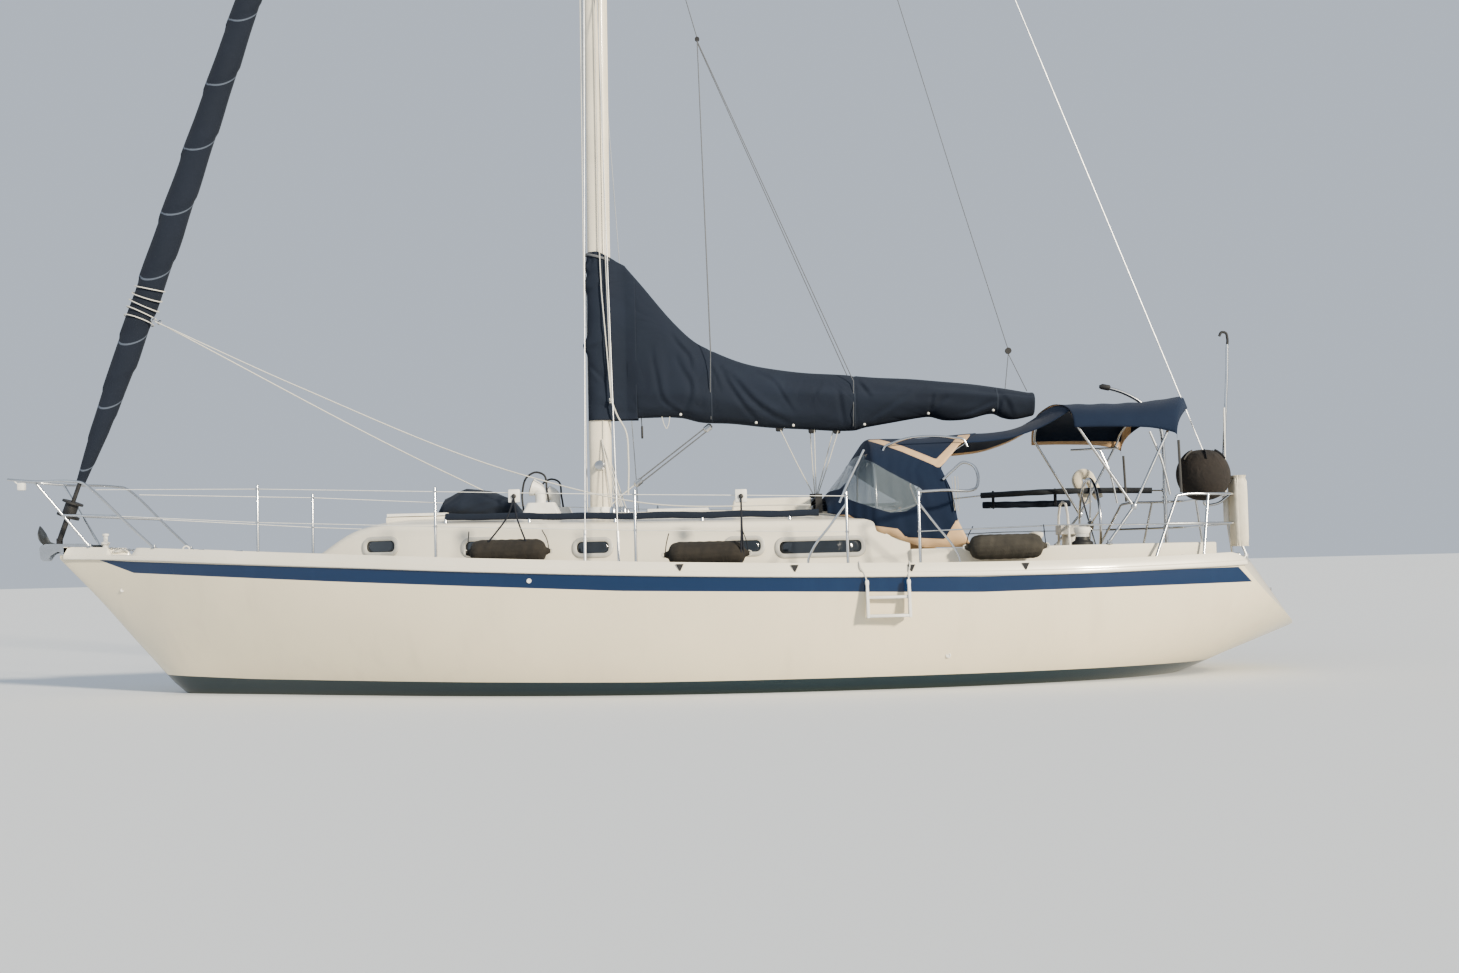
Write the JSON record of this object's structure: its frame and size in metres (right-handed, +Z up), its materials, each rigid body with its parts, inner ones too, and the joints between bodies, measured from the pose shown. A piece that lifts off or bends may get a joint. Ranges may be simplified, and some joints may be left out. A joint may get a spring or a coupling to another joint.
{
  "type": "sailing yacht",
  "caption": "Masthead sloop cruising yacht with fin keel, spade rudder, covered boom, furled headsail, sprayhood, cockpit awning and rails.",
  "frame": {"origin": "on the centreline at the waterline, midway along the waterline", "axes": "+X towards the bow, +Y to port, +Z up"},
  "size_m": [12.0442, 3.7927, 19.3003],
  "materials": {
    "gelcoat": "gloss gelcoat",
    "toe_rail": "satin",
    "antifouling": "matt antifouling",
    "bronze": "cast",
    "stainless": "polished",
    "painted_spar": "cream paint",
    "smoked_acrylic": "gloss",
    "teak": "oiled",
    "white_plastic": "satin",
    "cover_canvas": "woven acrylic",
    "canopy_canvas": "woven acrylic",
    "black_fitting": "satin",
    "fender_sock": "knitted cover",
    "grill_cover": "vinyl-coated cover",
    "buoy_cover": "white vinyl"
  },
  "bodies": {
    "hull": {"hull": "gelcoat", "cabin_trunk": "gelcoat", "cockpit_coaming": "gelcoat", "sea_hood": "gelcoat", "toe_rail_port": "toe_rail", "toe_rail_starboard": "toe_rail", "fin_keel": "antifouling", "shaft_strut": "bronze", "masthead": "stainless", "backstay": "stainless", "cap_shroud_port": "stainless", "cap_shroud_starboard": "stainless", "lower_shroud_port": "stainless", "lower_shroud_starboard": "stainless", "pulpit": "stainless", "pushpit": "stainless", "lifelines_port": "stainless", "lifelines_starboard": "stainless", "dodger_frame": "stainless", "bimini_frame": "stainless", "winch_port": "stainless", "winch_starboard": "stainless", "ladder_bracket": "stainless", "bow_roller": "stainless", "mast": "painted_spar", "lower_spreaders": "painted_spar", "upper_spreaders": "painted_spar", "washboards": "teak", "dorade_vent_port": "white_plastic", "dorade_vent_starboard": "white_plastic", "pedestal": "white_plastic", "boarding_step": "white_plastic", "rescue_canister": "white_plastic", "sail_cover_collar": "cover_canvas", "furled_headsail": "cover_canvas", "handrail_port": "cover_canvas", "handrail_starboard": "cover_canvas", "deck_bag": "cover_canvas", "dodger_canopy": "canopy_canvas", "bimini_canopy": "canopy_canvas", "canopy_connector": "canopy_canvas", "traveller": "black_fitting", "roller_furler": "black_fitting", "fender_1": "fender_sock", "fender_2": "fender_sock", "fender_3": "fender_sock", "kettle_grill": "grill_cover", "horseshoe_buoy": "buoy_cover"},
    "rudder": {"rudder": "antifouling"},
    "steering_wheel": {"steering_wheel": "stainless"},
    "propeller": {"propeller": "bronze"},
    "boom": {"boom": "painted_spar", "sail_cover": "cover_canvas", "boom_vang": "painted_spar"},
    "fore_hatch": {"fore_hatch_lid": "smoked_acrylic"},
    "mid_hatch": {"mid_hatch_lid": "smoked_acrylic"},
    "sliding_hatch": {"companionway_hatch": "smoked_acrylic"},
    "stern_ladder": {"stern_ladder": "stainless"},
    "hoist": {"outboard_hoist": "stainless"}
  },
  "joints": [
    {"name": "rudder_turn", "type": "hinge", "parent": "hull", "child": "rudder", "pos_m": [-4.33, 0, -0.3], "axis": [0, 0, 1], "range_deg": [-35, 35]},
    {"name": "wheel_turn", "type": "hinge", "parent": "hull", "child": "steering_wheel", "pos_m": [-3.79, 0, 1.37], "axis": [1, 0, 0], "range_deg": [-350, 350]},
    {"name": "propeller_spin", "type": "hinge", "parent": "hull", "child": "propeller", "pos_m": [-3.56, 0, -0.577], "axis": [0.9876, 0, 0.1569], "continuous": true},
    {"name": "boom_swing", "type": "hinge", "parent": "hull", "child": "boom", "pos_m": [0.61, 0, 2.59], "axis": [0, 0, 1], "range_deg": [-70, 70]},
    {"name": "fore_hatch_lift", "type": "hinge", "parent": "hull", "child": "fore_hatch", "pos_m": [2.814, 0, 1.582], "axis": [0, 1, 0], "range_deg": [0, 90]},
    {"name": "mid_hatch_lift", "type": "hinge", "parent": "hull", "child": "mid_hatch", "pos_m": [0.384, 0, 1.598], "axis": [0, 1, 0], "range_deg": [0, 50]},
    {"name": "hatch_slide", "type": "slide", "parent": "hull", "child": "sliding_hatch", "axis": [1, 0, 0], "range_m": [0, 0.68]},
    {"name": "ladder_fold", "type": "hinge", "parent": "hull", "child": "stern_ladder", "pos_m": [-5.465, -0.26, 0.72], "axis": [0, -1, 0], "range_deg": [0, 170]},
    {"name": "hoist_swivel", "type": "hinge", "parent": "hull", "child": "hoist", "pos_m": [-4.738, -0.84, 1.1], "axis": [0, 0, 1], "range_deg": [-90, 90]}
  ],
  "couplings": [
    {"joint": "wheel_turn", "follows": "rudder_turn", "ratio": 10}
  ]
}
